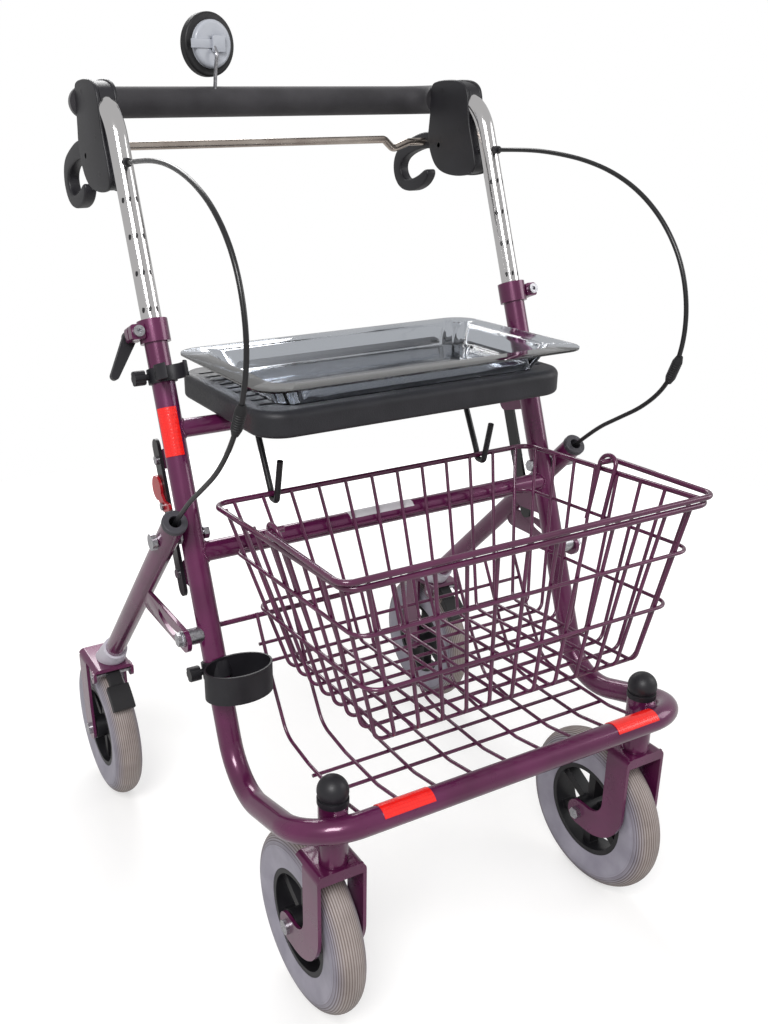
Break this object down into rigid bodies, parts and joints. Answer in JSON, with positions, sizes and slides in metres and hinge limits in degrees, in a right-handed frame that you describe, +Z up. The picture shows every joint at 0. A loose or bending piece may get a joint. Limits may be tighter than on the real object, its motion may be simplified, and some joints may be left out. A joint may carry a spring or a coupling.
{
  "type": "four-wheeled walking frame",
  "caption": "Folding four-wheeled walking frame (rollator) with seat, clear tray, wire basket, low wire shelf, foam push bar, one-hand brake, mirror and crutch holder.",
  "frame": {"origin": "on the floor under the middle of the object", "axes": "+Z up, the front faces -Y, the user stands behind at +Y; left is +X for the user, who looks along -Y"},
  "size_m": [0.608, 0.68, 1.02],
  "materials": {
    "plum_paint": "gloss",
    "chrome": "polished",
    "bolt_steel": "satin",
    "black_paint": "satin",
    "black_plastic": "matte",
    "foam": "matte",
    "rubber": "matte",
    "tyre": "matte",
    "grey_plastic": "satin",
    "white_plastic": "satin",
    "red_plastic": "gloss",
    "clear_plastic": "gloss",
    "mirror": "polished",
    "label": "satin"
  },
  "bodies": {
    "frame": {"front_frame_tube": "plum_paint", "crossbars": "plum_paint", "caster_stem_tubes": "plum_paint", "stem_ball_caps": "black_plastic", "leg_gussets": "plum_paint", "height_collars": "plum_paint", "frame_bolts": "bolt_steel", "seat": "black_plastic", "basket_hooks": "black_paint", "seat_stays": "black_paint", "fold_stop_bolts": "bolt_steel", "reflectors": "red_plastic", "lower_shelf": "plum_paint", "blank_label": "label", "crutch_clip": "black_plastic", "crutch_cup": "black_plastic", "crutch_knobs": "black_plastic", "brake_cable_right": "rubber", "brake_cable_left": "rubber"},
    "clamp_lever_right": {"clamp_lever_right": "black_plastic"},
    "clamp_lever_left": {"clamp_lever_left": "black_plastic"},
    "handle": {"handle_tube": "chrome", "handle_foam": "foam", "brake_housings": "black_plastic", "lever_hardware": "bolt_steel", "cable_ferrules": "black_plastic", "mirror_stem": "bolt_steel"},
    "brake_levers": {"brake_levers": "black_plastic", "brake_link_rod": "chrome"},
    "mirror": {"mirror_shell": "chrome", "mirror_glass": "mirror"},
    "fold_latch": {"fold_latch": "red_plastic"},
    "tray": {"tray": "clear_plastic"},
    "wire_basket": {"wire_basket": "plum_paint"},
    "basket_bail": {"basket_bail": "plum_paint"},
    "rear_leg_right": {"rear_leg_right": "plum_paint", "rear_cap_right": "grey_plastic", "rear_sleeve_right": "white_plastic", "rear_fork_right": "plum_paint", "rear_axle_right": "bolt_steel"},
    "rear_wheel_right": {"rear_tyre_right": "tyre", "rear_rim_right": "black_plastic"},
    "brake_shoe_right": {"brake_shoe_right": "rubber"},
    "caster_right": {"caster_fork_right": "plum_paint", "front_axle_right": "bolt_steel"},
    "front_wheel_right": {"front_tyre_right": "tyre", "front_rim_right": "black_plastic"},
    "rear_leg_left": {"rear_leg_left": "plum_paint", "rear_cap_left": "grey_plastic", "rear_sleeve_left": "white_plastic", "rear_fork_left": "plum_paint", "rear_axle_left": "bolt_steel"},
    "rear_wheel_left": {"rear_tyre_left": "tyre", "rear_rim_left": "black_plastic"},
    "brake_shoe_left": {"brake_shoe_left": "rubber"},
    "caster_left": {"caster_fork_left": "plum_paint", "front_axle_left": "bolt_steel"},
    "front_wheel_left": {"front_tyre_left": "tyre", "front_rim_left": "black_plastic"}
  },
  "joints": [
    {"name": "handle_slide", "type": "slide", "parent": "frame", "child": "handle", "axis": [0, 0.3469, 0.9379], "range_m": [-0.09, 0.055], "deforming": ["brake_cable_right", "brake_cable_left"]},
    {"name": "brake_squeeze", "type": "hinge", "parent": "handle", "child": "brake_levers", "pos_m": [0, 0.182, 0.864], "axis": [1, 0, 0], "range_deg": [0, 18], "stiffness_Nm_per_rad": 3, "springref_deg": -17.19},
    {"name": "mirror_turn", "type": "hinge", "parent": "handle", "child": "mirror", "pos_m": [-0.0645, 0.2382, 0.984], "axis": [0, 0, 1], "range_deg": [-15, 15]},
    {"name": "clamp_lever_right_turn", "type": "hinge", "parent": "frame", "child": "clamp_lever_right", "pos_m": [-0.259, 0.0278, 0.691], "axis": [0, 0.9379, -0.3469], "range_deg": [-35, 60]},
    {"name": "clamp_lever_left_turn", "type": "hinge", "parent": "frame", "child": "clamp_lever_left", "pos_m": [0.259, 0.0278, 0.691], "axis": [0, 0.9379, -0.3469], "range_deg": [-15, 60]},
    {"name": "fold_latch_turn", "type": "hinge", "parent": "frame", "child": "fold_latch", "pos_m": [-0.2459, 0.01073, 0.50065], "axis": [1, 0, 0], "range_deg": [0, 35]},
    {"name": "tray_lift", "type": "slide", "parent": "frame", "child": "tray", "axis": [0, 0, 1], "range_m": [0, 0.06]},
    {"name": "basket_lift", "type": "slide", "parent": "frame", "child": "wire_basket", "axis": [0, -0.219, 0.9757], "range_m": [0, 0.055]},
    {"name": "basket_bail_swing", "type": "hinge", "parent": "wire_basket", "child": "basket_bail", "pos_m": [0, -0.19318, 0.53502], "axis": [1, 0, 0], "range_deg": [-95, 0]},
    {"name": "rear_leg_right_fold", "type": "hinge", "parent": "frame", "child": "rear_leg_right", "pos_m": [0, -0.048, 0.486], "axis": [1, 0, 0], "range_deg": [-38, 0], "deforming": ["brake_cable_right"]},
    {"name": "rear_wheel_right_spin", "type": "hinge", "parent": "rear_leg_right", "child": "rear_wheel_right", "pos_m": [-0.272, 0.24, 0.1], "axis": [1, 0, 0], "continuous": true},
    {"name": "brake_shoe_right_press", "type": "hinge", "parent": "rear_leg_right", "child": "brake_shoe_right", "pos_m": [-0.272, 0.20018, 0.202], "axis": [1, 0, 0], "range_deg": [0, 1.85]},
    {"name": "caster_right_swivel", "type": "hinge", "parent": "frame", "child": "caster_right", "pos_m": [-0.2, -0.288, 0.25], "axis": [0, 0, 1], "continuous": true},
    {"name": "front_wheel_right_spin", "type": "hinge", "parent": "caster_right", "child": "front_wheel_right", "pos_m": [-0.2, -0.2355, 0.1], "axis": [1, 0, 0], "continuous": true},
    {"name": "rear_leg_left_fold", "type": "hinge", "parent": "frame", "child": "rear_leg_left", "pos_m": [0, -0.048, 0.486], "axis": [1, 0, 0], "range_deg": [-38, 0], "deforming": ["brake_cable_left"]},
    {"name": "rear_wheel_left_spin", "type": "hinge", "parent": "rear_leg_left", "child": "rear_wheel_left", "pos_m": [0.272, 0.24, 0.1], "axis": [1, 0, 0], "continuous": true},
    {"name": "brake_shoe_left_press", "type": "hinge", "parent": "rear_leg_left", "child": "brake_shoe_left", "pos_m": [0.272, 0.20018, 0.202], "axis": [1, 0, 0], "range_deg": [0, 1.85]},
    {"name": "caster_left_swivel", "type": "hinge", "parent": "frame", "child": "caster_left", "pos_m": [0.2, -0.288, 0.25], "axis": [0, 0, 1], "continuous": true},
    {"name": "front_wheel_left_spin", "type": "hinge", "parent": "caster_left", "child": "front_wheel_left", "pos_m": [0.2, -0.2355, 0.1], "axis": [1, 0, 0], "continuous": true}
  ],
  "couplings": [
    {"joint": "brake_shoe_right_press", "follows": "brake_squeeze", "ratio": 0.1},
    {"joint": "brake_shoe_left_press", "follows": "brake_squeeze", "ratio": 0.1},
    {"joint": "rear_leg_left_fold", "follows": "rear_leg_right_fold", "ratio": 1}
  ]
}
